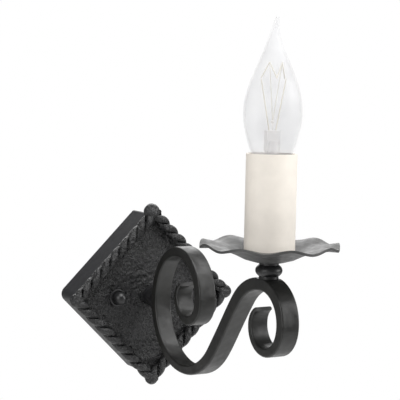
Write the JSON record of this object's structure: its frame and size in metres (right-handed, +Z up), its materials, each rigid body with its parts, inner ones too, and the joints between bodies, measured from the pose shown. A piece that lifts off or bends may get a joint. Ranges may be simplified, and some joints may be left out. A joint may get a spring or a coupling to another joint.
{
  "type": "torch wall sconce",
  "caption": "Torch wall sconce: diamond wall box with a rope border, scrolled arm, wavy drip tray, cream candle sleeve and a screw-in flame bulb.",
  "frame": {"origin": "centre of the wall box's back rim, in the wall plane", "axes": "+Z up, +Y into the wall, +X to the right as seen by someone facing the wall; the arm reaches out along -Y"},
  "size_m": [0.1229, 0.217, 0.246],
  "materials": {
    "box_iron": "satin black lacquer over folded sheet",
    "cast_iron": "satin black, rough cast",
    "rope_iron": "satin black, cast rope",
    "scroll_iron": "satin black over forged bar",
    "tray_iron": "satin dark grey over pressed sheet",
    "collar_iron": "satin black",
    "dark_fixings": "satin black",
    "plated_steel": "zinc plated",
    "sleeve_cream": "matt cream",
    "holder_plastic": "moulded white",
    "brass_parts": "bright",
    "terminal_plastic": "moulded white",
    "lead_brown": "smooth",
    "lead_blue": "smooth",
    "lead_green": "smooth",
    "bulb_glass_clear": "clear",
    "bulb_stem_glass": "clear",
    "cap_metal": "nickel plated",
    "cap_glass": "black glass",
    "filament_wire": "drawn wire"
  },
  "bodies": {
    "fixture": {"arm_nipple": "plated_steel", "arm_nut": "dark_fixings", "arm_sleeve": "dark_fixings", "arm_washer": "dark_fixings", "ball_collar": "collar_iron", "ball_nut_left": "dark_fixings", "ball_nut_right": "dark_fixings", "candle_nipple": "plated_steel", "cast_face": "cast_iron", "centre_contact": "brass_parts", "contact_block": "holder_plastic", "cup_washer_left": "dark_fixings", "cup_washer_right": "dark_fixings", "drip_tray": "tray_iron", "earth_lead": "lead_green", "earth_screw": "plated_steel", "holder_barrel": "holder_plastic", "holder_cup": "holder_plastic", "holder_nut": "plated_steel", "holder_terminal_left": "brass_parts", "holder_terminal_right": "brass_parts", "inner_nut": "plated_steel", "inner_washer": "plated_steel", "live_lead": "lead_brown", "mounting_strap": "plated_steel", "neutral_lead": "lead_blue", "rope_border": "rope_iron", "screw_shell": "brass_parts", "scroll_arm": "scroll_iron", "strap_stud_left": "plated_steel", "strap_stud_right": "plated_steel", "terminal_block": "terminal_plastic", "terminal_screws": "plated_steel", "wall_box": "box_iron"},
    "bulb_travel": {"bulb_contact": "cap_metal"},
    "bulb": {"cap_insulator": "cap_glass", "bulb_cap": "cap_metal", "bulb_glass": "bulb_glass_clear", "bulb_stem": "bulb_stem_glass", "bulb_bead": "bulb_stem_glass", "bulb_wire_left": "filament_wire", "bulb_wire_right": "filament_wire", "filament": "filament_wire", "filament_supports": "filament_wire"},
    "sleeve": {"candle_sleeve": "sleeve_cream"}
  },
  "joints": [
    {"name": "bulb_lift", "type": "slide", "parent": "fixture", "child": "bulb_travel", "axis": [0, 0, 1], "range_m": [0, 0.00846]},
    {"name": "bulb_turn", "type": "hinge", "parent": "bulb_travel", "child": "bulb", "pos_m": [0, -0.176, 0.12], "axis": [0, 0, 1], "range_deg": [0, 1080]},
    {"name": "sleeve_lift", "type": "slide", "parent": "fixture", "child": "sleeve", "axis": [0, 0, 1], "range_m": [0, 0.003]}
  ],
  "couplings": [
    {"joint": "bulb_lift", "follows": "bulb_turn", "m_per_rad": 0.00044882}
  ]
}
